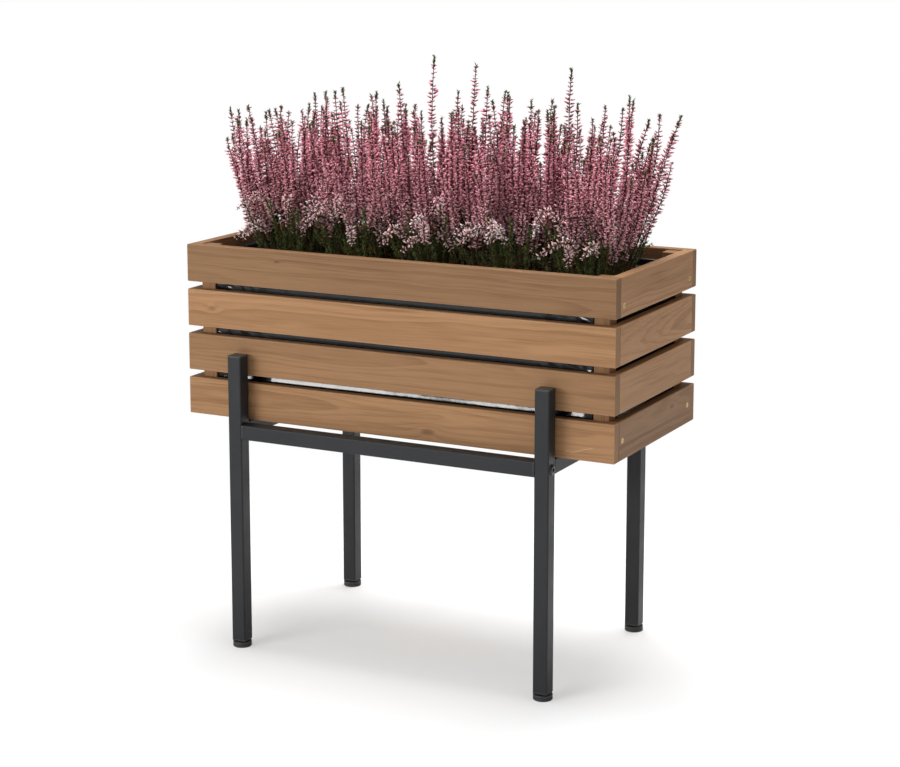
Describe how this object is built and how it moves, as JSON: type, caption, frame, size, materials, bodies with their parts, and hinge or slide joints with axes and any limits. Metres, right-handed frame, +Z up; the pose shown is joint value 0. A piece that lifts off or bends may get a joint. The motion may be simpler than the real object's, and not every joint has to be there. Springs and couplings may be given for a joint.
{
  "type": "raised planter on legs",
  "caption": "Slatted wooden planter box with a film liner, lifted out of a square-tube metal stand on levelling feet, planted with heather.",
  "frame": {"origin": "on the floor under the middle of the planter, at the bottom of the feet", "axes": "+X along the long side, +Y from the front to the back, +Z up"},
  "size_m": [0.62, 0.325, 0.793],
  "materials": {
    "stained_wood": "matte",
    "plain_wood": "matte",
    "powder_coat": "satin",
    "black_plastic": "matte",
    "black_film": "gloss",
    "brass": "satin",
    "zinc_steel": "satin",
    "black_steel": "satin",
    "potting_soil": "matte",
    "heather": "matte"
  },
  "bodies": {
    "stand": {"crossbar_left": "powder_coat", "crossbar_right": "powder_coat", "foot_inserts": "black_plastic", "leg_back_left": "powder_coat", "leg_back_right": "powder_coat", "leg_caps": "black_plastic", "leg_front_left": "powder_coat", "leg_front_right": "powder_coat", "rail_back": "powder_coat", "rail_bolts": "black_steel", "rail_front": "powder_coat", "rail_plugs": "black_plastic", "weld_beads": "powder_coat"},
    "box": {"back_slat_1": "stained_wood", "back_slat_2": "stained_wood", "back_slat_3": "stained_wood", "back_slat_4": "stained_wood", "batten_screws": "zinc_steel", "board_screws": "zinc_steel", "floor_batten_back": "plain_wood", "floor_batten_front": "plain_wood", "floor_board_1": "plain_wood", "floor_board_2": "plain_wood", "floor_board_3": "plain_wood", "floor_board_4": "plain_wood", "front_slat_1": "stained_wood", "front_slat_2": "stained_wood", "front_slat_3": "stained_wood", "front_slat_4": "stained_wood", "left_slat_1": "stained_wood", "left_slat_2": "stained_wood", "left_slat_3": "stained_wood", "left_slat_4": "stained_wood", "liner": "black_film", "liner_staples": "zinc_steel", "post_back_left": "stained_wood", "post_back_right": "stained_wood", "post_front_left": "stained_wood", "post_front_right": "stained_wood", "post_screws": "zinc_steel", "right_slat_1": "stained_wood", "right_slat_2": "stained_wood", "right_slat_3": "stained_wood", "right_slat_4": "stained_wood", "side_screws": "brass"},
    "planting": {"heather_1": "heather", "heather_2": "heather", "heather_3": "heather", "heather_4": "heather", "heather_5": "heather", "potting_soil": "potting_soil"},
    "foot_front_left": {"foot_pad_front_left": "black_plastic", "foot_stud_front_left": "zinc_steel"},
    "foot_front_right": {"foot_pad_front_right": "black_plastic", "foot_stud_front_right": "zinc_steel"},
    "foot_back_left": {"foot_pad_back_left": "black_plastic", "foot_stud_back_left": "zinc_steel"},
    "foot_back_right": {"foot_pad_back_right": "black_plastic", "foot_stud_back_right": "zinc_steel"}
  },
  "joints": [
    {"name": "box_lift", "type": "slide", "parent": "stand", "child": "box", "axis": [0, 0, 1], "range_m": [0, 0.12]},
    {"name": "planting_lift", "type": "slide", "parent": "box", "child": "planting", "axis": [0, 0, 1], "range_m": [0, 0.25]},
    {"name": "foot_front_left_screw", "type": "slide", "parent": "stand", "child": "foot_front_left", "axis": [0, 0, -1], "range_m": [0, 0.01]},
    {"name": "foot_front_right_screw", "type": "slide", "parent": "stand", "child": "foot_front_right", "axis": [0, 0, -1], "range_m": [0, 0.01]},
    {"name": "foot_back_left_screw", "type": "slide", "parent": "stand", "child": "foot_back_left", "axis": [0, 0, -1], "range_m": [0, 0.01]},
    {"name": "foot_back_right_screw", "type": "slide", "parent": "stand", "child": "foot_back_right", "axis": [0, 0, -1], "range_m": [0, 0.01]}
  ]
}
